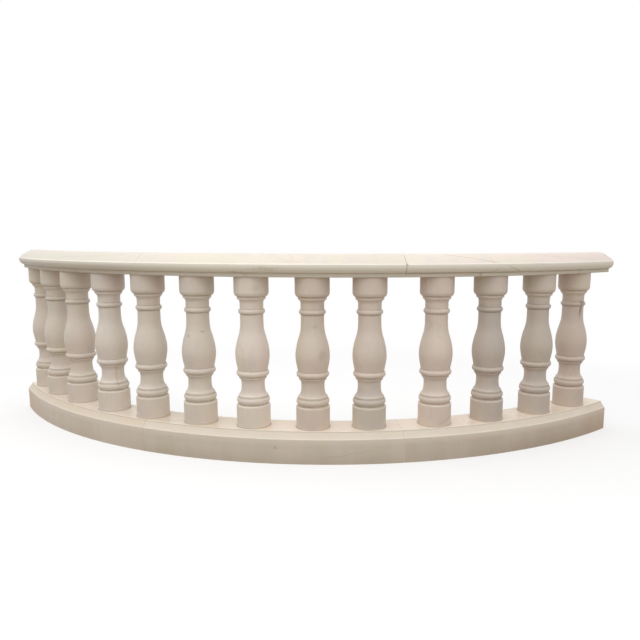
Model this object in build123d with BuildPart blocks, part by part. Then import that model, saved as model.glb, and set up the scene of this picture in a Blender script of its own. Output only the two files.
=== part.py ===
from build123d import *
from math import asin, cos, degrees, radians, sin
import os

os.makedirs("parts", exist_ok=True)

# A curved stone balustrade. Turned balusters stand on a low moulded plinth and carry a moulded
# top rail. Plinth and rail follow one arc and come in three equal lengths, which meet on radial
# joints above each other. X runs along the row, the convex front faces -Y and Z is up. The
# origin is on the ground, in the middle of the balustrade's outline.

# Plan, in millimetres along the centreline. The masons set the balusters out by hand, so no two
# spacings need be alike. They run from the left.
arc_radius = 2125.0
left_margin = 104.0
spacings = [265.0, 263.0, 289.0, 276.0, 282.0, 274.0, 286.0, 265.0, 321.0, 283.0, 304.0, 275.0]
right_margin = 184.0

# Names of the equal lengths of plinth and rail, and of the joints between them
length_names = ["left", "middle", "right"]
joint_names = ["left", "right"]

# Heights of the three courses
plinth_height = 150.0
baluster_height = 706.0
rail_height = 104.0

# Radial joints between the lengths of stone
joint_width = 2.5
joint_recess = 1.5

# Baluster radii
foot_radius = 79.5
foot_groove_depth = 8.0
foot_torus_setback = 2.0
foot_fillet_setback = 10.0
lower_neck_radius = 54.5
collar_cove_radius = 63.0
collar_fillet_radius = 64.5
collar_torus_foot_radius = 66.5
collar_torus_radius = 76.5
vase_foot_radius = 69.5
vase_belly_radius = 80.0
vase_shoulder_radius = 67.5
waist_radius = 53.8
astragal_radius = 62.2
upper_neck_radius = 54.5
head_cove_radius = 64.5
head_fillet_radius = 66.5
head_radius = 80.5
head_ovolo_projection = 9.5
turned_arris = 1.5

# Heights of the baluster's members below the vase, from the ground up
foot_height = 101.0
foot_groove_height = 10.5
foot_torus_height = 28.0
foot_fillet_height = 9.0
foot_cove_height = 46.5
lower_neck_height = 10.0
collar_cove_height = 24.0
collar_fillet_height = 10.0
collar_torus_height = 28.0

# Heights of its members above the vase, from the rail down
head_height = 72.0
head_ovolo_height = 20.0
head_fillet_height = 12.0
head_cove_height = 20.0
upper_neck_height = 26.0
astragal_height = 24.0
waist_height = 31.0

# The vase takes the height between them. Its belly and shoulder are at these shares of it.
vase_belly_share = 0.31
vase_shoulder_share = 0.634

# Plinth section. The seat is wider than the baluster's foot by a margin on either side.
seat_margin = 10.5
plinth_step = 4.0
weathering_run = 24.0
weathering_drop = 29.0
weathering_hollow = 1.5
plinth_arris = 2.0
seat_half_width = foot_radius + seat_margin
plinth_half_width = seat_half_width + weathering_run

# Rail section. Its fascia oversails the baluster's head and carries a round nose.
fascia_overhang = 6.5
fascia_height = 18.0
fascia_arris = 1.5
nose_projection = 25.0
nose_radius = 33.5
nose_level = 50.0
nose_top = 58.0
nose_arris = 4.0
crest_half_width = 47.0
crest_drop = 3.0
rail_bulge = 2.5
fascia_half_width = head_radius + fascia_overhang
rail_half_width = fascia_half_width + nose_projection


def turn_for(distance):
    """Angle in degrees that a distance along the centreline spans."""
    return degrees(distance / arc_radius)


whole_angle = turn_for(left_margin + sum(spacings) + right_margin)
half_angle = whole_angle / 2

# Angles are measured from the middle of the arc, positive towards +X
baluster_angles = [turn_for(left_margin) - half_angle]
for spacing in spacings:
    baluster_angles.append(baluster_angles[-1] + turn_for(spacing))
length_angle = whole_angle / len(length_names)
half_joint = turn_for(joint_width) / 2

# The arc's centre lies behind the origin, so that the outline is centred on it
front_reach = arc_radius + plinth_half_width
back_reach = (arc_radius - plinth_half_width) * cos(radians(half_angle))
arc_centre = Vector(0, (front_reach + back_reach) / 2, 0)
arc_axis = Axis(arc_centre, (0, 0, 1))

plinth_top = plinth_height
rail_bottom = plinth_top + baluster_height


def radial_plane(angle, height):
    """Upright plane across the arc: x points outwards from the centreline and y points up."""
    outwards = Vector(sin(radians(angle)), -cos(radians(angle)), 0)
    along = Vector(cos(radians(angle)), sin(radians(angle)), 0)
    foot = arc_centre + outwards * arc_radius + Vector(0, 0, height)
    return Plane(origin=foot, x_dir=outwards, z_dir=-along)


def bent_length(section, height, start, end):
    """Solid length of one section, bent round the arc from one angle to another."""
    with BuildPart() as length:
        with BuildSketch(radial_plane(start, height)):
            add(section.sketch)
        revolve(axis=arc_axis, revolution_arc=end - start)
    return length.part


step_level = plinth_height - plinth_step
weathering_foot = step_level - weathering_drop
weathering_middle = Vector(
    seat_half_width + weathering_run / 2 - weathering_hollow / 2,
    step_level - weathering_drop / 2 - weathering_hollow / 2,
)


def plinth_section(inset):
    """Upright faces, a slightly hollow slope, a small step and a flat seat, set back by an inset."""
    back = Vector(-inset, -inset)
    slope_foot = Vector(plinth_half_width, weathering_foot) + back
    slope_head = Vector(seat_half_width, step_level) + back
    seat_edge = Vector(seat_half_width, plinth_height) + back
    with BuildSketch() as section:
        with BuildLine():
            Polyline((0, inset), (plinth_half_width - inset, inset), slope_foot)
            ThreePointArc(slope_foot, weathering_middle + back, slope_head)
            Polyline(slope_head, seat_edge, (0, plinth_height - inset))
            mirror(about=Plane.YZ)
        make_face()
        for level in (slope_foot.Y, seat_edge.Y):
            fillet(section.vertices().filter_by_position(Axis.Y, level, level), plinth_arris)
    return section


nose_start_angle = -degrees(asin((nose_level - fascia_height) / nose_radius))
nose_end_angle = degrees(asin((nose_top - nose_level) / nose_radius))
crest_level = rail_height - crest_drop
slope_middle = Vector(
    (rail_half_width + crest_half_width) / 2 + rail_bulge / 2,
    (nose_top + crest_level) / 2 + rail_bulge,
)


def rail_section(inset):
    """A fascia, a round nose above it, then a slope up to a gently rounded crest, set back by an inset."""
    back = Vector(-inset, -inset)
    crest_edge = Vector(crest_half_width, crest_level) + back
    crest_middle = Vector(0, rail_height - inset)
    crest_between = Vector(crest_half_width / 2, rail_height - crest_drop / 4 - inset)
    with BuildSketch() as section:
        with BuildLine():
            nose = CenterArc(
                center=(rail_half_width - nose_radius, nose_level),
                radius=nose_radius - inset,
                start_angle=nose_start_angle,
                arc_size=nose_end_angle - nose_start_angle,
            )
            fascia_foot = Vector(fascia_half_width - inset, inset)
            fascia_head = Vector(fascia_half_width - inset, (nose @ 0).Y)
            Polyline((0, inset), fascia_foot, fascia_head, nose @ 0)
            ThreePointArc(nose @ 1, slope_middle + back, crest_edge)
            ThreePointArc(crest_edge, crest_between, crest_middle)
            mirror(about=Plane.YZ)
        make_face()
        fillet(section.vertices().filter_by_position(Axis.Y, inset, inset), fascia_arris)
        nose_edge = (nose @ 1).Y
        fillet(
            section.vertices().filter_by_position(Axis.Y, nose_edge - 0.1, nose_edge + 0.1),
            nose_arris,
        )
    return section


# Levels of the baluster's members above the plinth
groove_bottom = foot_height
groove_top = groove_bottom + foot_groove_height
foot_torus_top = groove_top + foot_torus_height
foot_fillet_top = foot_torus_top + foot_fillet_height
foot_cove_top = foot_fillet_top + foot_cove_height
lower_neck_top = foot_cove_top + lower_neck_height
collar_cove_top = lower_neck_top + collar_cove_height
collar_fillet_top = collar_cove_top + collar_fillet_height
collar_top = collar_fillet_top + collar_torus_height
head_bottom = baluster_height - head_height
ovolo_bottom = head_bottom - head_ovolo_height
head_fillet_bottom = ovolo_bottom - head_fillet_height
head_cove_bottom = head_fillet_bottom - head_cove_height
astragal_top = head_cove_bottom - upper_neck_height
waist_top = astragal_top - astragal_height
vase_top = waist_top - waist_height
vase_height = vase_top - collar_top
belly_level = collar_top + vase_height * vase_belly_share
shoulder_level = collar_top + vase_height * vase_shoulder_share

# Radii that follow from the foot and from the head
groove_radius = foot_radius - foot_groove_depth
foot_torus_radius = foot_radius - foot_torus_setback
foot_fillet_radius = foot_radius - foot_fillet_setback
ovolo_foot_radius = head_radius - head_ovolo_projection
ovolo_diagonal = head_ovolo_projection**2 + head_ovolo_height**2
ovolo_radius = ovolo_diagonal / (2 * head_ovolo_projection)

# Half of the baluster's profile, turned round its own axis
with BuildSketch() as baluster_profile:
    with BuildLine():
        Polyline(
            (0, 0),
            (foot_radius, 0),
            (foot_radius, foot_height - turned_arris),
            (foot_radius - turned_arris, foot_height),
            (groove_radius, groove_bottom),
            (groove_radius, groove_top),
        )
        ThreePointArc(
            (groove_radius, groove_top),
            (foot_torus_radius, (groove_top + foot_torus_top) / 2),
            (groove_radius, foot_torus_top),
        )
        Polyline(
            (groove_radius, foot_torus_top),
            (foot_fillet_radius, foot_torus_top),
            (foot_fillet_radius, foot_fillet_top),
        )
        Spline(
            (foot_fillet_radius, foot_fillet_top),
            (lower_neck_radius, foot_cove_top),
            tangents=[(-1, 0.7), (0, 1)],
        )
        Line((lower_neck_radius, foot_cove_top), (lower_neck_radius, lower_neck_top))
        Spline(
            (lower_neck_radius, lower_neck_top),
            (collar_cove_radius, collar_cove_top),
            tangents=[(0, 1), (1, 1)],
        )
        Polyline(
            (collar_cove_radius, collar_cove_top),
            (collar_fillet_radius, collar_cove_top),
            (collar_fillet_radius, collar_fillet_top),
            (collar_torus_foot_radius, collar_fillet_top),
        )
        ThreePointArc(
            (collar_torus_foot_radius, collar_fillet_top),
            (collar_torus_radius, (collar_fillet_top + collar_top) / 2),
            (vase_foot_radius, collar_top),
        )
        Spline(
            (vase_foot_radius, collar_top),
            (vase_belly_radius, belly_level),
            (vase_shoulder_radius, shoulder_level),
            (waist_radius, vase_top),
            tangents=[(0.18, 1), (0, 1)],
        )
        Line((waist_radius, vase_top), (waist_radius, waist_top))
        ThreePointArc(
            (waist_radius, waist_top),
            (astragal_radius, (waist_top + astragal_top) / 2),
            (upper_neck_radius, astragal_top),
        )
        Line((upper_neck_radius, astragal_top), (upper_neck_radius, head_cove_bottom))
        Spline(
            (upper_neck_radius, head_cove_bottom),
            (head_cove_radius, head_fillet_bottom),
            tangents=[(0, 1), (1, 0.8)],
        )
        Polyline(
            (head_cove_radius, head_fillet_bottom),
            (head_fillet_radius, head_fillet_bottom),
            (head_fillet_radius, ovolo_bottom),
            (ovolo_foot_radius, ovolo_bottom),
        )
        RadiusArc((ovolo_foot_radius, ovolo_bottom), (head_radius, head_bottom), -ovolo_radius)
        Polyline((head_radius, head_bottom), (head_radius, baluster_height), (0, baluster_height), (0, 0))
    make_face()

# The lengths of plinth and of rail. Where two meet, each stops half a joint short.
plinth_outline = plinth_section(0)
rail_outline = rail_section(0)
for position, name in enumerate(length_names):
    start = length_angle * position - half_angle
    end = start + length_angle
    if position > 0:
        start = start + half_joint
    if position < len(joint_names):
        end = end - half_joint

    plinth_length = bent_length(plinth_outline, 0, start, end)
    plinth_length.label = f"plinth_{name}"
    export_step(plinth_length, f"parts/{plinth_length.label}.step")

    rail_length = bent_length(rail_outline, rail_bottom, start, end)
    rail_length.label = f"rail_{name}"
    export_step(rail_length, f"parts/{rail_length.label}.step")

# Joint fills, set back a little from the faces of the stone all round
plinth_fill_outline = plinth_section(joint_recess)
rail_fill_outline = rail_section(joint_recess)
for position, name in enumerate(joint_names, start=1):
    joint_angle = length_angle * position - half_angle
    fill_start = joint_angle - half_joint
    fill_end = joint_angle + half_joint
    plinth_fill = bent_length(plinth_fill_outline, 0, fill_start, fill_end)
    plinth_fill.label = f"plinth_joint_{name}"
    export_step(plinth_fill, f"parts/{plinth_fill.label}.step")

    rail_fill = bent_length(rail_fill_outline, rail_bottom, fill_start, fill_end)
    rail_fill.label = f"rail_joint_{name}"
    export_step(rail_fill, f"parts/{rail_fill.label}.step")

# Balusters, numbered from the left
for number, angle in enumerate(baluster_angles, start=1):
    seat = radial_plane(angle, plinth_top)
    with BuildPart() as baluster:
        with BuildSketch(seat):
            add(baluster_profile.sketch)
        revolve(axis=Axis(seat.origin, (0, 0, 1)))
    baluster.part.label = f"baluster_{number:02d}"
    export_step(baluster.part, f"parts/{baluster.part.label}.step")
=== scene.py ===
import bpy
from math import asin, cos, degrees, radians, sin
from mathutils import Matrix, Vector


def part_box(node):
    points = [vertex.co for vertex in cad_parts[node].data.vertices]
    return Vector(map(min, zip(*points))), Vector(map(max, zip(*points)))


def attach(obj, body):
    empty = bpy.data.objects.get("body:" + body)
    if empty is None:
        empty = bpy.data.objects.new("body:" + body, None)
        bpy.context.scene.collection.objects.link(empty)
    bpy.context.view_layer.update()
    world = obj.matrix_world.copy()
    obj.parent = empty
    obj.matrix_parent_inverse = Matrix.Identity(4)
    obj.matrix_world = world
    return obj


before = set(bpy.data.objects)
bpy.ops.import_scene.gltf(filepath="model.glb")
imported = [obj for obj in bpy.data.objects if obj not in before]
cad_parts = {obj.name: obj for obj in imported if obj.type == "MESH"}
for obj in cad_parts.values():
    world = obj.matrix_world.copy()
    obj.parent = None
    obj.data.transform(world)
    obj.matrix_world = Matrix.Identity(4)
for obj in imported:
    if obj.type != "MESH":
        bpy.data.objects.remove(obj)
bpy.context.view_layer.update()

# ---------------------------------------------------------------------------------------------
# Places and sizes, in metres and degrees
# ---------------------------------------------------------------------------------------------

BALUSTERS = [f"baluster_{number:02d}" for number in range(1, 14)]
LENGTHS = ("left", "middle", "right")

plinth_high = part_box("plinth_middle")[1]
rail_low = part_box("rail_middle")[0]
PLINTH_TOP = plinth_high[2]
RAIL_BOTTOM = rail_low[2]

# Levels of a baluster's members above its seat, and the radius of its foot
DRUM_TOP = 0.101
GROOVE_TOP = 0.1115
FOOT_TORUS_TOP = 0.1395
FOOT_FILLET_TOP = 0.1485
COLLAR_COVE_TOP = 0.229
COLLAR_FILLET_TOP = 0.239
COLLAR_TOP = 0.267
WAIST_TOP = 0.532
ASTRAGAL_TOP = 0.556
HEAD_FILLET_TOP = 0.614
FOOT_RADIUS = 0.0795

# Levels of the rail's members above its underside
FASCIA_TOP = 0.018
NOSE_TOP = 0.058

# Half widths of the plinth, and depths of its members below its top
SEAT_HALF_WIDTH = 0.090
PLINTH_HALF_WIDTH = 0.114
SEAT_STEP = 0.004
WEATHERING_FOOT = 0.033


def axis_of(node):
    """Middle of a turned baluster, seen from above."""
    low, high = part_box(node)
    return Vector(((low[0] + high[0]) / 2, (low[1] + high[1]) / 2))


def circle_through(first, second, third):
    """Centre and radius of the circle through three points of the plan."""
    ax, ay = first
    bx, by = second
    cx, cy = third
    twice_area = 2 * (ax * (by - cy) + bx * (cy - ay) + cx * (ay - by))
    a2, b2, c2 = ax * ax + ay * ay, bx * bx + by * by, cx * cx + cy * cy
    centre_x = (a2 * (by - cy) + b2 * (cy - ay) + c2 * (ay - by)) / twice_area
    centre_y = (a2 * (cx - bx) + b2 * (ax - cx) + c2 * (bx - ax)) / twice_area
    centre = Vector((centre_x, centre_y))
    return centre, (centre - Vector(first)).length


# The arc runs through the first, the middle and the last baluster
ARC_CENTRE, ARC_RADIUS = circle_through(*(axis_of(BALUSTERS[position]) for position in (0, 6, 12)))
JOINT_ANGLE = degrees(asin(plinth_high[0] / (ARC_RADIUS + PLINTH_HALF_WIDTH)))

# ---------------------------------------------------------------------------------------------
# Shader maths
# ---------------------------------------------------------------------------------------------

# Sockets of a Mix node that take and give colours
MIX_FACTOR, MIX_BELOW, MIX_ABOVE = 0, 6, 7
MIX_COLOUR = 2

# Step of a pattern along each axis as its seed grows by 1
SEED_STEP = (1.37, 2.11, 0.73)

VEIN_WANDER = 5.0
VEIN_TAPER = 0.15


class Field:
    """A socket that takes part in sums, each of which adds a Math node."""

    def __init__(self, bench, socket):
        self.bench = bench
        self.socket = socket

    def maths(self, operation, *terms):
        """Math node over its terms, each of them a socket or a number."""
        return self.bench.node("ShaderNodeMath", {"operation": operation}, dict(enumerate(terms)))

    def __add__(self, other):
        return self.maths("ADD", self, other)

    def __sub__(self, other):
        return self.maths("SUBTRACT", self, other)

    def __mul__(self, other):
        return self.maths("MULTIPLY", self, other)

    def __truediv__(self, other):
        return self.maths("DIVIDE", self, other)

    def __radd__(self, other):
        return self.maths("ADD", other, self)

    def __rsub__(self, other):
        return self.maths("SUBTRACT", other, self)

    def __rmul__(self, other):
        return self.maths("MULTIPLY", other, self)

    def __rtruediv__(self, other):
        return self.maths("DIVIDE", other, self)

    def __abs__(self):
        return self.maths("ABSOLUTE", self)

    def highest(self, other):
        return self.maths("MAXIMUM", self, other)

    def root(self):
        return self.maths("SQRT", self)

    def angle_from(self, ahead):
        """Angle in degrees between straight ahead and a point this far aside."""
        return self.maths("ARCTAN2", self, ahead) * degrees(1.0)

    def step_between(self, low, high):
        """0 below low, 1 above high and a smooth step between; falls where high is below low."""
        settings = {"interpolation_type": "SMOOTHSTEP", "clamp": True}
        values = {"Value": self, "From Min": low, "From Max": high}
        return self.bench.node("ShaderNodeMapRange", settings, values)

    def near(self, level, reach):
        """1 where the value is at a level, fading to 0 at a reach on either side."""
        return abs(self - level).step_between(reach, 0.0)

    def at_least(self, least):
        """The range from 0 to 1 squeezed into the range from a least share to 1."""
        return least + (1.0 - least) * self


class Bench:
    """A node tree at work."""

    def __init__(self, tree):
        self.tree = tree

    def feed(self, socket, value):
        """Link a field to a socket, or set a plain value on it."""
        if isinstance(value, Field):
            self.tree.links.new(value.socket, socket)
        else:
            socket.default_value = value

    def node(self, kind, settings=None, values=None, output=0):
        """Add a node, first its settings and then the values or links of its sockets, named or counted.

        The answer is the output that is asked for, a list of them for a tuple of names, or None for a
        node without outputs.
        """
        made = self.tree.nodes.new(kind)
        for name, setting in (settings or {}).items():
            setattr(made, name, setting)
        for socket, value in (values or {}).items():
            self.feed(made.inputs[socket], value)
        if isinstance(output, tuple):
            return [Field(self, made.outputs[name]) for name in output]
        if len(made.outputs) == 0:
            return None
        return Field(self, made.outputs[output])

    def seen(self):
        """1 for rays that reach the eye, straight or by gloss or glass, and 0 for the rest."""
        rays = ("Is Camera Ray", "Is Glossy Ray", "Is Transmission Ray")
        straight, gloss, through = self.node("ShaderNodeLightPath", output=rays)
        return straight.highest(gloss).highest(through)


class Surface(Bench):
    """A material under construction, with the colour, the roughness and the grain that it has so far."""

    def __init__(self, name):
        self.material = bpy.data.materials.new(name)
        self.material.use_nodes = True
        super().__init__(self.material.node_tree)
        self.shader = self.tree.nodes["Principled BSDF"]
        self.place = self.node("ShaderNodeTexCoord", output="Object")
        values = {"Vector": self.place}
        self.x, self.y, self.z = self.node("ShaderNodeSeparateXYZ", values=values, output=("X", "Y", "Z"))

    def noise(self, scale, detail, roughness, seed, stretch=(1.0, 1.0, 1.0)):
        """Noise from 0 to 1 with a scale in waves per metre; the seed picks the pattern."""
        shift = tuple(seed * step for step in SEED_STEP)
        values = {"Vector": self.place, "Location": shift, "Scale": stretch}
        moved = self.node("ShaderNodeMapping", {"vector_type": "POINT"}, values)
        values = {"Vector": moved, "Scale": scale, "Detail": detail, "Roughness": roughness}
        return self.node("ShaderNodeTexNoise", {"noise_dimensions": "3D"}, values)

    def wobble(self, scale, seed):
        """Unevenness of a level, up to a millimetre either way."""
        return (self.noise(scale, detail=2.0, roughness=0.5, seed=seed + 61.0) - 0.5) * 0.002

    def broken(self, scale, seed):
        """Patches from 0 to 1 that interrupt dust, wear, painted shade and painted highlights."""
        return self.noise(scale, detail=3.0, roughness=0.6, seed=seed + 67.0).step_between(0.30, 0.60)

    def mix(self, mask, below, above, mode="MIX"):
        """Colour that turns from below to above as the mask goes from 0 to 1."""
        settings = {"data_type": "RGBA", "blend_type": mode, "clamp_factor": True}
        values = {MIX_FACTOR: mask, MIX_BELOW: below, MIX_ABOVE: above}
        return self.node("ShaderNodeMix", settings, values, output=MIX_COLOUR)

    def wash(self, shade, mask, strength):
        """Turn the colour towards a shade where the mask is 1, as far as the strength says."""
        self.colour = self.mix(mask * strength, self.colour, shade)

    def along_arc(self):
        """Offset outwards from the arc's centreline, and angle in degrees from its middle."""
        across = self.x - ARC_CENTRE.x
        ahead = ARC_CENTRE.y - self.y
        reach = (across * across + ahead * ahead).root()
        return reach - ARC_RADIUS, across.angle_from(ahead)

    def bearing_about(self, axis):
        """Bearing about an upright axis in degrees, 0 away from the arc's centre and growing to the right."""
        outward = (axis - ARC_CENTRE).normalized()
        right = Vector((-outward.y, outward.x))
        across, forward = self.x - axis.x, self.y - axis.y
        ahead = across * outward.x + forward * outward.y
        aside = across * right.x + forward * right.y
        return aside.angle_from(ahead)

    def stain(self, place, spread, shade, strength, seed, fray=2.4):
        """Frayed stain about a place given as pairs of a coordinate and the value that it has there."""
        squares = 0.0
        for (along, value), reach in zip(place, spread):
            share = (along - value) / reach
            squares = squares + share * share
        ragged = (self.noise(46.0, detail=5.0, roughness=0.70, seed=seed) - 0.5) * fray
        self.wash(shade, (squares.root() + ragged).step_between(1.0, 0.10), strength)

    def vein(self, along, span, across, levels, width, shade, strength, seed):
        """Wandering vein that crosses from one level to another over a span, and tapers off at its ends."""
        start, end = span
        low, high = levels
        wander = (self.noise(16.0, detail=3.0, roughness=0.6, seed=seed) - 0.5) * width * VEIN_WANDER
        course = low + (along - start) * ((high - low) / (end - start))
        taper = (end - start) * VEIN_TAPER
        inside = along.step_between(start, start + taper) * along.step_between(end, end - taper)
        self.wash(shade, (across + wander).near(course, width) * inside, strength)

    def finish(self, depth=0.0003, bump=0.35, gloss=0.28):
        """Set the shader: the grain stands up by a depth in metres, and gloss is the specular level."""
        self.feed(self.shader.inputs["Base Color"], self.colour)
        self.feed(self.shader.inputs["Roughness"], self.roughness)
        self.feed(self.shader.inputs["IOR"], 1.5)
        self.feed(self.shader.inputs["Specular IOR Level"], gloss)
        values = {"Height": self.grain, "Distance": depth, "Strength": bump}
        self.feed(self.shader.inputs["Normal"], self.node("ShaderNodeBump", values=values))
        return self.material


# ---------------------------------------------------------------------------------------------
# Colours
# ---------------------------------------------------------------------------------------------


def rgb(red, green, blue):
    """Colour from its sRGB values."""

    def linear(value):
        return value / 12.92 if value <= 0.04045 else ((value + 0.055) / 1.055) ** 2.4

    return (linear(red), linear(green), linear(blue), 1.0)


WHITE = rgb(1.0, 1.0, 1.0)

# Ground of the marble
CREAM = rgb(0.925, 0.892, 0.846)
PINKISH = rgb(0.928, 0.880, 0.845)
YELLOWISH = rgb(0.918, 0.890, 0.825)
GREYISH = rgb(0.890, 0.868, 0.832)

# Casts that lie over a whole face or a part of one
OLIVE = rgb(0.990, 0.980, 0.920)
SALLOW = rgb(0.855, 0.830, 0.785)
ROSE = rgb(0.975, 0.893, 0.805)
TRODDEN = rgb(0.865, 0.812, 0.720)
BUFF = rgb(0.930, 0.886, 0.815)
SAND = rgb(0.903, 0.848, 0.766)
TAWNY = rgb(0.850, 0.700, 0.570)
MOSSY = rgb(0.66, 0.63, 0.51)
ASHEN = rgb(0.76, 0.745, 0.715)

# Dust, marks and wear, and colours for painted shade and painted highlights
DUST_AND_SHADE = rgb(0.62, 0.53, 0.42)
GRIME_AND_SHADE = rgb(0.52, 0.45, 0.36)
VEIN = rgb(0.70, 0.60, 0.50)
RUST = rgb(0.55, 0.40, 0.27)
BROWN = rgb(0.52, 0.43, 0.31)
LICHEN = rgb(0.62, 0.60, 0.46)
PALE_EDGE_AND_HIGHLIGHT = rgb(0.965, 0.940, 0.885)
WORN_EDGE_AND_HIGHLIGHT = rgb(1.0, 0.990, 0.940)

# Tones of blocks, which multiply the ground
PALE_STONE = rgb(1.030, 1.018, 1.015)
WARM_STONE = rgb(0.978, 0.955, 0.938)
FAIR_STONE = rgb(0.990, 0.968, 0.957)
FLAT_STONE = rgb(0.978, 0.958, 0.945)
COOL_STONE = rgb(0.985, 0.978, 0.970)
DULL_STONE = rgb(0.885, 0.872, 0.863)
DIM_STONE = rgb(0.902, 0.886, 0.878)
DEEP_STONE = rgb(0.932, 0.905, 0.897)

# Tone of each baluster's block, from the left, and of the heads that differ from it
BALUSTER_TONES = (COOL_STONE, COOL_STONE, COOL_STONE, WHITE, COOL_STONE, COOL_STONE, PALE_STONE,
                  WARM_STONE, FLAT_STONE, FAIR_STONE, DULL_STONE, DIM_STONE, DEEP_STONE)
HEAD_TONES = {
    11: rgb(0.958, 0.945, 0.934),
    12: rgb(0.955, 0.943, 0.932),
    13: rgb(0.985, 0.965, 0.950),
}

RAIL_TONES = {
    "left": rgb(0.970, 0.970, 0.965),
    "middle": rgb(0.972, 0.972, 0.960),
    "right": rgb(1.0, 0.985, 0.988),
}

# The left fills and the plinth's right fill are painted lighter than the stone to cancel the shade in their
# recessed joints; the rail's right fill is a dark joint
FILL_TONES_AND_PAINTED_LIGHT = {
    "rail_joint_left": rgb(1.04, 1.04, 1.03),
    "plinth_joint_left": rgb(1.04, 1.03, 1.02),
    "rail_joint_right": rgb(0.66, 0.58, 0.50),
    "plinth_joint_right": rgb(1.02, 0.99, 0.96),
}

BEAD_TONE = rgb(0.86, 0.83, 0.80)
FLOOR_TONE = rgb(0.600, 0.545, 0.485)

# ---------------------------------------------------------------------------------------------
# Stone
# ---------------------------------------------------------------------------------------------

# Seeds that pick the patterns of each piece, with a step from one piece to the next
BALUSTER_SEED_STEP = 3.0
LENGTH_SEED_STEP = 7.0
RAIL_SEED = 50.0
PLINTH_SEED = 80.0
FILL_SEED = 90.0
BEAD_SEED = 95.0

PLINTH_GLOSS = 0.5
BAND_REACH = 0.005


def lay_marble(surface, seed, tone):
    """Ground of honed cream marble: clouds, patches, wisps, threads of vein, specks and a fine grain.

    The tone multiplies its colour.
    """
    clouds = surface.noise(2.6, detail=3.0, roughness=0.55, seed=seed)
    patches = surface.noise(6.0, detail=2.0, roughness=0.5, seed=seed + 11.0)
    wisps = surface.noise(14.0, detail=4.0, roughness=0.6, seed=seed + 23.0, stretch=(1.0, 1.0, 0.30))
    surface.colour = surface.mix(clouds.step_between(0.36, 0.64), CREAM, PINKISH)
    surface.wash(YELLOWISH, patches.step_between(0.44, 0.68), strength=0.8)
    surface.wash(GREYISH, wisps.step_between(0.46, 0.72), strength=0.8)
    wander = surface.noise(3.4, detail=4.0, roughness=0.60, seed=seed + 47.0, stretch=(1.0, 1.0, 0.7))
    parted = surface.noise(5.0, detail=2.0, roughness=0.5, seed=seed + 53.0).step_between(0.48, 0.68)
    surface.wash(VEIN, wander.near(0.5, 0.020) * parted, strength=0.12)
    specks = surface.noise(150.0, detail=2.0, roughness=0.5, seed=seed + 31.0)
    surface.wash(DUST_AND_SHADE, specks.step_between(0.60, 0.75), strength=0.10)
    surface.colour = surface.mix(1.0, surface.colour, tone, mode="MULTIPLY")
    surface.grain = surface.noise(420.0, detail=3.0, roughness=0.65, seed=seed + 5.0)
    surface.roughness = 0.54 + (surface.grain - 0.5) * 0.10 + (patches - 0.5) * 0.12


def bands(height, levels):
    """Thin bands about some levels, each with its own strength."""
    return sum((height.near(level, BAND_REACH) * strength for level, strength in levels), 0.0)


def give(node, material):
    """Put a material on a node in place of its own."""
    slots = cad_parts[node].data.materials
    slots.clear()
    slots.append(material)


# ---------------------------------------------------------------------------------------------
# Turned balusters
# ---------------------------------------------------------------------------------------------

# Quirks of a baluster that hold dust and painted shade, as pairs of a level and a strength
QUIRKS = (
    (0.0, 0.9),
    (GROOVE_TOP - 0.003, 1.0),
    (FOOT_TORUS_TOP, 0.6),
    (COLLAR_COVE_TOP, 0.35),
    (COLLAR_FILLET_TOP, 0.60),
    (COLLAR_TOP, 0.45),
    (WAIST_TOP, 0.7),
    (ASTRAGAL_TOP, 0.45),
    (HEAD_FILLET_TOP, 0.6),
)

# Arrises of a baluster that are worn pale and carry a painted highlight, in the same way
ARRISES = (
    (DRUM_TOP - 0.003, 1.4),
    (FOOT_TORUS_TOP - 0.010, 0.6),
    (FOOT_FILLET_TOP - 0.002, 0.9),
    (COLLAR_TOP - 0.010, 0.7),
    (ASTRAGAL_TOP - 0.009, 0.6),
    (HEAD_FILLET_TOP - 0.006, 0.3),
)


def turned_marks(surface, number, bearing, height):
    """Natural stains and veins of single balusters, by bearing in degrees from the arc's outside."""
    if number == 4:
        surface.stain(((bearing, 70.0), (height, 0.175)), (9.0, 0.080), VEIN, strength=0.28, seed=4.0)
    if number == 6:
        surface.stain(((bearing, 53.0), (height, 0.445)), (20.0, 0.008), GRIME_AND_SHADE, strength=0.30, seed=6.0)
        surface.stain(((bearing, -13.0), (height, 0.425)), (14.0, 0.010), GRIME_AND_SHADE, strength=0.25, seed=16.0)
    if number == 7:
        surface.stain(((bearing, 32.0), (height, 0.655)), (24.0, 0.020), DUST_AND_SHADE, strength=0.16, seed=7.0)
    if number == 8:
        surface.stain(((bearing, 36.0), (height, 0.350)), (26.0, 0.042), LICHEN, strength=0.26, seed=8.0)
        surface.stain(((bearing, 20.0), (height, 0.480)), (22.0, 0.010), GRIME_AND_SHADE, strength=0.20, seed=18.0)
    if number == 9:
        surface.wash(ASHEN, height.step_between(COLLAR_COVE_TOP, FOOT_FILLET_TOP), strength=0.40)
    if number == 10:
        crack = (bearing, (-6.0, 54.0), height, (0.012, 0.050))
        surface.vein(*crack, width=0.0018, shade=GRIME_AND_SHADE, strength=0.80, seed=10.0)
    if number == 13:
        slant = bearing - (height - 0.512) * 130.0
        smear = ((slant, -13.0), (height, 0.512))
        surface.stain(smear, (13.0, 0.048), BROWN, strength=0.70, seed=13.0, fray=1.2)
        ring = ((bearing, -9.0), (height, 0.550))
        surface.stain(ring, (26.0, 0.014), BROWN, strength=0.85, seed=23.0, fray=1.4)


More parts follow.
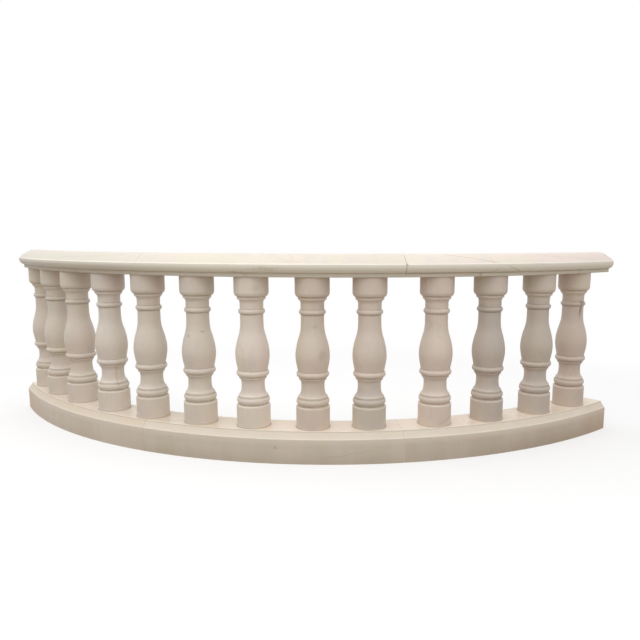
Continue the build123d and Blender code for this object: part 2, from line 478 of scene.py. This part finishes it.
def turned_marble(number, seed):
    """Marble of a turned baluster, with dust and painted shade in its quirks, and worn arrises with painted
    highlights.
    """
    surface = Surface(f"turned_marble_{number:02d}")
    height = surface.z - PLINTH_TOP
    tone = BALUSTER_TONES[number - 1]
    if number in HEAD_TONES:
        tone = surface.mix(height.step_between(ASTRAGAL_TOP, HEAD_FILLET_TOP), tone, HEAD_TONES[number])
    lay_marble(surface, seed, tone)
    bearing = surface.bearing_about(axis_of(BALUSTERS[number - 1]))
    turned_marks(surface, number, bearing, height)
    surface.wash(DUST_AND_SHADE, height.step_between(DRUM_TOP + 0.02, 0.0), strength=0.10)
    level = height + surface.wobble(30.0, seed)
    broken = surface.broken(22.0, seed)
    # Painted shade in the quirks and at the foot, mixed with dust
    surface.wash(GRIME_AND_SHADE, bands(level, QUIRKS) * broken.at_least(0.5), strength=0.70)
    # Painted highlights on the arrises, mixed with wear
    surface.wash(PALE_EDGE_AND_HIGHLIGHT, bands(level, ARRISES) * broken.at_least(0.4), strength=0.50)
    return surface


# ---------------------------------------------------------------------------------------------
# Rail
# ---------------------------------------------------------------------------------------------

# Strength of the dust and painted shade in the quirk over the fascia
FASCIA_QUIRK = {"left": 0.4, "middle": 0.4, "right": 0.9}


def rail_marks(surface, name, offset, angle, height):
    """Natural stains and veins of the middle and the right length of rail."""
    if name == "middle":
        surface.stain(((angle, 0.3), (height, 0.040)), (2.4, 0.014), VEIN, strength=0.30, seed=41.0)
        surface.stain(((angle, -3.2), (height, 0.022)), (1.6, 0.006), RUST, strength=0.30, seed=42.0)
        surface.vein(angle, (-9.0, 2.0), offset, (0.052, 0.108), 0.003, PINKISH, strength=0.7, seed=43.0)
    if name == "right":
        surface.vein(angle, (21.2, 28.8), offset, (0.045, 0.112), 0.0035, VEIN, strength=0.45, seed=44.0)
        surface.vein(angle, (29.0, 31.5), height, (0.056, 0.022), 0.003, VEIN, strength=0.55, seed=45.0)
        surface.stain(((angle, 34.6), (height, 0.056)), (2.2, 0.010), GREYISH, strength=0.9, seed=46.0)
        surface.vein(angle, (35.0, 46.0), offset, (0.060, 0.100), 0.004, VEIN, strength=0.22, seed=47.0)


def rail_marble(name, seed):
    """Marble of a length of rail, with dust and painted shade under its nose, and a worn arris over it with a
    painted highlight.
    """
    surface = Surface(f"rail_marble_{name}")
    lay_marble(surface, seed, RAIL_TONES[name])
    offset, angle = surface.along_arc()
    height = surface.z - RAIL_BOTTOM
    side = height.step_between(NOSE_TOP, NOSE_TOP - 0.006)
    surface.wash(OLIVE, side, strength=0.75)
    rail_marks(surface, name, offset, angle, height)
    surface.wash(SALLOW, angle.step_between(-5.0, -28.0), strength=0.78)
    if name == "left":
        surface.vein(angle, (-34.0, -17.0), offset, (0.100, 0.055), 0.004, VEIN, strength=0.18, seed=48.0)
    level = height + surface.wobble(18.0, seed)
    broken = surface.broken(9.0, seed)
    # Painted shade over the fascia, under the nose's overhang
    fascia = level.step_between(FASCIA_TOP + 0.003, FASCIA_TOP - 0.001)
    surface.wash(DUST_AND_SHADE, fascia, strength=0.34)
    # Painted shade in the quirk over the fascia and along the underside, mixed with dust
    quirks = bands(level, ((FASCIA_TOP, FASCIA_QUIRK[name]), (0.0, 0.6)))
    surface.wash(GRIME_AND_SHADE, quirks * broken.at_least(0.55), strength=0.6)
    # Painted highlight on the upper part of the nose
    nose_highlight = level.step_between(NOSE_TOP - 0.020, NOSE_TOP - 0.003)
    nose_highlight = nose_highlight * level.step_between(NOSE_TOP + 0.007, NOSE_TOP)
    surface.wash(PALE_EDGE_AND_HIGHLIGHT, nose_highlight * broken.at_least(0.6), strength=0.70)
    # Painted highlight on the nose's arris, mixed with wear
    arris = level.near(NOSE_TOP + 0.0005, 0.0040)
    surface.wash(WORN_EDGE_AND_HIGHLIGHT, arris * broken.at_least(0.6), strength=0.75)
    if name != "left":
        joint_edge = abs(angle).near(JOINT_ANGLE, 0.20)
        surface.wash(PALE_EDGE_AND_HIGHLIGHT, joint_edge * broken.at_least(0.4), strength=0.6)
        chip = ((angle, JOINT_ANGLE + 0.12), (height, NOSE_TOP))
        surface.stain(chip, (0.16, 0.005), BROWN, strength=0.7, seed=49.0, fray=1.2)
    return surface


# ---------------------------------------------------------------------------------------------
# Plinth
# ---------------------------------------------------------------------------------------------

# Strengths of the casts on each length: on its weathering, on its face, near the ground up to
# splash_top, and towards the cut end that the outer ones have
PLINTH_WEAR = {
    "left": {"weathering": 0.80, "face": 0.12, "splash": 0.14, "splash_top": 0.080, "end": 0.50},
    "middle": {"weathering": 0.40, "face": 0.20, "splash": 0.26, "splash_top": 0.080},
    "right": {"weathering": 0.40, "face": 0.25, "splash": 0.33, "splash_top": 0.100, "end": 0.30},
}


def plinth_marks(surface, name, angle):
    """Natural stains and veins of the middle and the right length of plinth."""
    if name == "middle":
        surface.stain(((angle, 1.2), (surface.z, 0.077)), (0.40, 0.010), GRIME_AND_SHADE, strength=0.55, seed=51.0)
        surface.stain(((angle, -12.3), (surface.z, 0.093)), (0.50, 0.012), VEIN, strength=0.5, seed=52.0)
        surface.vein(angle, (6.5, 13.2), surface.z, (0.028, 0.066), 0.005, VEIN, strength=0.36, seed=53.0)
    if name == "right":
        surface.vein(angle, (19.5, 24.0), surface.z, (0.100, 0.055), 0.004, VEIN, strength=0.22, seed=54.0)


def plinth_marble(name, seed):
    """Marble of a length of plinth, smoothest on its seat and dusty towards the ground."""
    surface = Surface(f"plinth_marble_{name}")
    lay_marble(surface, seed, WHITE)
    wear = PLINTH_WEAR[name]
    offset, angle = surface.along_arc()
    depth = PLINTH_TOP - surface.z
    plinth_marks(surface, name, angle)
    damp = surface.noise(9.0, detail=3.0, roughness=0.6, seed=seed + 73.0, stretch=(1.0, 1.0, 0.25))
    damp = damp.step_between(0.35, 0.65)
    seat = depth.step_between(0.002, 0.0)
    surface.wash(ROSE, seat, strength=0.40 + 0.28 * angle.step_between(-22.0, -4.0))
    surface.wash(TRODDEN, seat * angle.near(-12.5, 17.0), strength=0.75)
    weathering = (1.0 - seat) * depth.step_between(WEATHERING_FOOT + 0.002, WEATHERING_FOOT - 0.002)
    surface.wash(BUFF, 1.0 - seat - weathering, strength=0.35 + 0.35 * damp)
    surface.wash(SAND, weathering, strength=wear["weathering"] + 0.35 * damp)
    face = depth.step_between(WEATHERING_FOOT - 0.002, WEATHERING_FOOT + 0.040)
    surface.wash(MOSSY if name == "middle" else DUST_AND_SHADE, face, strength=wear["face"] + 0.11 * damp)
    broken = surface.broken(11.0, seed)
    # Painted shade in the step below the seat, mixed with dust
    step = abs(offset).near(SEAT_HALF_WIDTH + 0.002, 0.005) * depth.near(SEAT_STEP, 0.004)
    surface.wash(GRIME_AND_SHADE, step * broken.at_least(0.45), strength=0.22)
    # Painted highlights on the seat's edge and on the foot of the weathering, mixed with wear
    arris = abs(offset).near(SEAT_HALF_WIDTH - 0.005, 0.010) * depth.near(0.0, 0.002)
    arris = arris + depth.near(WEATHERING_FOOT - 0.001, 0.005) * 0.8
    surface.wash(PALE_EDGE_AND_HIGHLIGHT, arris * broken.at_least(0.5), strength=0.9)
    ragged = (surface.noise(6.0, detail=3.0, roughness=0.6, seed=seed + 71.0) - 0.5) * 0.05
    splash = (surface.z + ragged).step_between(wear["splash_top"], 0.0)
    if name == "right":
        splash = splash * (0.5 + 0.9 * angle.step_between(20.0, 38.0))
    surface.wash(DUST_AND_SHADE, splash, strength=wear["splash"])
    if name != "middle":
        end = abs(angle).step_between(37.0, 49.0)
        end = end * depth.step_between(WEATHERING_FOOT - 0.004, WEATHERING_FOOT)
        end = end * offset.step_between(PLINTH_HALF_WIDTH - 0.020, PLINTH_HALF_WIDTH - 0.002)
        surface.wash(TAWNY, end, strength=wear["end"])
    if name != "left":
        joint_edge = abs(angle).near(JOINT_ANGLE + 0.12, 0.22)
        surface.wash(PALE_EDGE_AND_HIGHLIGHT, joint_edge * broken.at_least(0.4), strength=0.35)
    surface.roughness = surface.roughness - seat * (0.16 + 0.10 * damp)
    return surface


# ---------------------------------------------------------------------------------------------
# Joint fills and bedding mortar
# ---------------------------------------------------------------------------------------------

BEAD_RADIUS = 0.0035
BEAD_UNEVENNESS = 0.0004
BEAD_TURN = 41.0


def mortar(name, seed, tone):
    """Mortar rubbed with the dust of the stone."""
    surface = Surface(name)
    lay_marble(surface, seed, tone)
    return surface


def bedding_mortar(material):
    """Bead of mortar pressed out round a baluster's foot and wiped smooth, modelled once for them all."""
    bpy.ops.object.select_all(action="DESELECT")
    bpy.ops.mesh.primitive_torus_add(major_segments=96, minor_segments=16, major_radius=FOOT_RADIUS,
                                     minor_radius=BEAD_RADIUS, location=(0.0, 0.0, PLINTH_TOP))
    bead = bpy.context.object
    bpy.ops.object.transform_apply(location=True, rotation=True, scale=True)
    bpy.ops.object.mode_set(mode="EDIT")
    bpy.ops.mesh.select_all(action="SELECT")
    bpy.ops.mesh.bisect(plane_co=(0.0, 0.0, PLINTH_TOP), plane_no=(0.0, 0.0, 1.0), clear_inner=True)
    bpy.ops.mesh.bridge_edge_loops()
    bpy.ops.mesh.select_all(action="SELECT")
    bpy.ops.mesh.normals_make_consistent(inside=False)
    bpy.ops.transform.vertex_random(offset=BEAD_UNEVENNESS, normal=0.5, seed=1)
    bpy.ops.object.mode_set(mode="OBJECT")
    bpy.ops.object.shade_smooth()
    bead.data.materials.append(material)
    return bead


def lay_mortar(pattern, number, axis):
    """Copy of the bead about a baluster's axis, each turned a little further."""
    bpy.ops.object.select_all(action="DESELECT")
    pattern.select_set(True)
    bpy.context.view_layer.objects.active = pattern
    bpy.ops.object.duplicate()
    bead = bpy.context.object
    bead.name = f"bedding_mortar_{number:02d}"
    bead.location = (axis.x, axis.y, 0.0)
    bead.rotation_euler = (0.0, 0.0, radians(BEAD_TURN * number))
    bpy.ops.object.transform_apply(location=True, rotation=True, scale=True)
    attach(bead, "root")


# ---------------------------------------------------------------------------------------------
# The balustrade's pieces
# ---------------------------------------------------------------------------------------------

bead_material = mortar("bedding_mortar", BEAD_SEED, BEAD_TONE).finish(depth=0.0006, bump=0.6)
bead_pattern = bedding_mortar(bead_material)
for position, node in enumerate(BALUSTERS):
    lay_mortar(bead_pattern, position + 1, axis_of(node))
# The pattern goes with its mesh
bpy.data.meshes.remove(bead_pattern.data)

for position, node in enumerate(BALUSTERS):
    give(node, turned_marble(position + 1, BALUSTER_SEED_STEP * position).finish())
for position, name in enumerate(LENGTHS):
    seed_step = LENGTH_SEED_STEP * position
    give(f"rail_{name}", rail_marble(name, RAIL_SEED + seed_step).finish())
    give(f"plinth_{name}", plinth_marble(name, PLINTH_SEED + seed_step).finish(gloss=PLINTH_GLOSS))
for node, tone in FILL_TONES_AND_PAINTED_LIGHT.items():
    give(node, mortar(f"{node}_mortar", FILL_SEED, tone).finish())

# ---------------------------------------------------------------------------------------------
# Floor and sky
# ---------------------------------------------------------------------------------------------

FLOOR_SIZE = 60.0
FLOOR_SHADOW_SHARE = 0.45
FLOOR_SHADOW_STRETCH = 1.3
FLOOR_FADE_START = 1.9
FLOOR_FADE_END = 3.2
SKY_STRENGTH = 0.705


def studio_floor():
    """White to the eye but for the soft shadow by the stone, and a warm grey that throws little light."""
    ground = Surface("studio_floor")
    seen = ground.seen()
    ground.feed(ground.shader.inputs["Base Color"], ground.mix(seen, FLOOR_TONE, WHITE))
    ground.feed(ground.shader.inputs["Roughness"], 1.0)
    ground.feed(ground.shader.inputs["Specular IOR Level"], 0.0)
    across = ground.x / FLOOR_SHADOW_STRETCH
    reach = (across * across + ground.y * ground.y).root()
    far = reach.step_between(FLOOR_FADE_START, FLOOR_FADE_END)
    share = seen * (1.0 - FLOOR_SHADOW_SHARE * (1.0 - far))
    lit = Field(ground, ground.shader.outputs["BSDF"])
    glow = ground.node("ShaderNodeEmission", values={"Color": WHITE, "Strength": 1.0})
    both = ground.node("ShaderNodeMixShader", values={0: share, 1: lit, 2: glow})
    ground.feed(ground.tree.nodes["Material Output"].inputs["Surface"], both)
    return ground.material


def studio_sky():
    """White to the eye, and a dimmer white that lights the stone."""
    world = bpy.data.worlds.new("studio")
    world.use_nodes = True
    world.node_tree.nodes.clear()
    sky = Bench(world.node_tree)
    light = sky.node("ShaderNodeBackground", values={"Color": WHITE, "Strength": SKY_STRENGTH})
    backdrop = sky.node("ShaderNodeBackground", values={"Color": WHITE, "Strength": 1.0})
    both = sky.node("ShaderNodeMixShader", values={0: sky.seen(), 1: light, 2: backdrop})
    sky.node("ShaderNodeOutputWorld", values={"Surface": both})
    return world


bpy.ops.object.select_all(action="DESELECT")
bpy.ops.mesh.primitive_plane_add(size=FLOOR_SIZE, location=(0.0, 0.0, 0.0))
floor = bpy.context.object
floor.name = "floor"
floor.data.materials.append(studio_floor())
bpy.context.scene.world = studio_sky()

# ---------------------------------------------------------------------------------------------
# Lamps
# ---------------------------------------------------------------------------------------------


def softbox(name, place, target, width, depth, power):
    """Large area lamp that faces a target."""
    lamp = bpy.data.lights.new(name, "AREA")
    lamp.shape = "RECTANGLE"
    lamp.size = width
    lamp.size_y = depth
    lamp.energy = power
    holder = bpy.data.objects.new(name, lamp)
    bpy.context.collection.objects.link(holder)
    holder.location = place
    holder.rotation_euler = (Vector(target) - Vector(place)).to_track_quat("-Z", "Y").to_euler()


softbox("overhead", place=(-0.6, -0.8, 4.2), target=(0.0, 0.0, 0.4), width=6.0, depth=4.0, power=100.0)
softbox("front", place=(-2.6, -4.6, 2.6), target=(0.0, 0.0, 0.4), width=3.0, depth=2.0, power=10.5)
softbox("side", place=(3.4, -3.2, 1.7), target=(0.0, 0.0, 0.5), width=3.0, depth=2.0, power=9.0)

# ---------------------------------------------------------------------------------------------
# Camera
# ---------------------------------------------------------------------------------------------

# The camera stands in front, to the right of the middle and a little above the rail, and looks down
# and to the left. Its place is a reach and an angle about the arc's centre, and a height.
EYE_REACH = 4.987
EYE_ANGLE = 8.514
EYE_HEIGHT = 1.020
LOOK_DOWN = 8.78
LOOK_LEFT = 7.255
ROLL = -0.13
SHIFT_ACROSS = -0.0478
SHIFT_UP = 0.02615
SENSOR = 36.0
LENS = 35.145

camera = bpy.data.cameras.new("camera")
camera.sensor_width = SENSOR
camera.lens = LENS
camera.shift_x = SHIFT_ACROSS
camera.shift_y = SHIFT_UP
camera.clip_end = 200.0
viewer = bpy.data.objects.new("camera", camera)
bpy.context.collection.objects.link(viewer)
eye_x = ARC_CENTRE.x + EYE_REACH * sin(radians(EYE_ANGLE))
eye_y = ARC_CENTRE.y - EYE_REACH * cos(radians(EYE_ANGLE))
viewer.location = (eye_x, eye_y, EYE_HEIGHT)
viewer.rotation_euler = (radians(90.0 - LOOK_DOWN), radians(ROLL), radians(LOOK_LEFT))
bpy.context.scene.camera = viewer
bpy.context.scene.view_settings.view_transform = "Standard"
